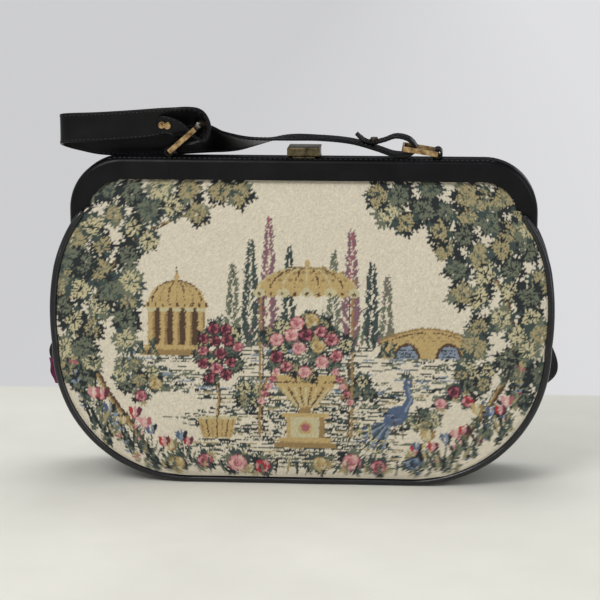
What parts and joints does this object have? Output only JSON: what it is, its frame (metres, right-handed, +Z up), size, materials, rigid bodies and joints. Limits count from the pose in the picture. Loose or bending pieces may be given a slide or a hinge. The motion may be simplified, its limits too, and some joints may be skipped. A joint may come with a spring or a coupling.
{
  "type": "handbag",
  "caption": "Frame handbag with tapestry panels, black leather gusset and covered frame, brass snap clasp and a single leather strap handle on two rectangular rings",
  "frame": {"origin": "centre of the flat base, on the surface that the bag stands on", "axes": "X across the bag with +X to the viewer's right, -Y out of the front panel, Z up"},
  "size_m": [0.3512, 0.073, 0.2542],
  "materials": {
    "tapestry": "woven pictorial tapestry, cream ground with muted greens, gold, rose and slate",
    "gusset_leather": "black leather with fine grain and soft creases",
    "piping_leather": "glossy black leather over cord",
    "board": "grey-brown stiffening board",
    "lining_cloth": "magenta woven lining",
    "frame_steel": "plain steel strip, slightly dulled",
    "frame_leather": "glossy black leather stretched over the frame",
    "clasp_brass": "aged brass with dark tarnish",
    "strap_leather": "glossy black leather with stitched edges",
    "ring_brass": "worn brass with brown tarnish"
  },
  "bodies": {
    "bag": {"gusset": "gusset_leather", "front_panel": "tapestry", "back_panel": "tapestry", "front_piping": "piping_leather", "back_piping": "piping_leather", "front_board": "board", "back_board": "board", "base_board": "board", "lining": "lining_cloth", "lining_peek": "lining_cloth", "back_frame_channel": "frame_steel", "back_frame_cover": "frame_leather", "left_hinge_pin": "frame_steel", "right_hinge_pin": "frame_steel", "clasp_base": "clasp_brass", "clasp_pin": "clasp_brass", "clasp_spring": "clasp_brass", "left_chape": "strap_leather", "right_chape": "strap_leather", "handle_strap": "strap_leather", "left_stud": "ring_brass", "right_stud": "ring_brass"},
    "front_frame": {"front_frame_channel": "frame_steel", "front_frame_cover": "frame_leather", "clasp_catch": "clasp_brass"},
    "clasp": {"clasp_lever": "clasp_brass"},
    "left_ring": {"left_ring": "ring_brass"},
    "right_ring": {"right_ring": "ring_brass"}
  },
  "joints": [
    {"name": "front_frame_open", "type": "hinge", "parent": "bag", "child": "front_frame", "pos_m": [0, 0, 0.168], "axis": [1, 0, 0], "range_deg": [0, 65], "deforming": ["front_panel", "front_piping", "lining"]},
    {"name": "clasp_lift", "type": "hinge", "parent": "bag", "child": "clasp", "pos_m": [0.001, 0.0092, 0.224], "axis": [-1, 0, 0], "range_deg": [0, 75], "deforming": ["handle_strap"]},
    {"name": "left_ring_swivel", "type": "hinge", "parent": "bag", "child": "left_ring", "pos_m": [-0.09, 0, 0.22361], "axis": [0, -1, 0], "range_deg": [-12, 10]},
    {"name": "right_ring_swivel", "type": "hinge", "parent": "bag", "child": "right_ring", "pos_m": [0.091, 0, 0.22361], "axis": [0, 1, 0], "range_deg": [-4, 8]}
  ]
}
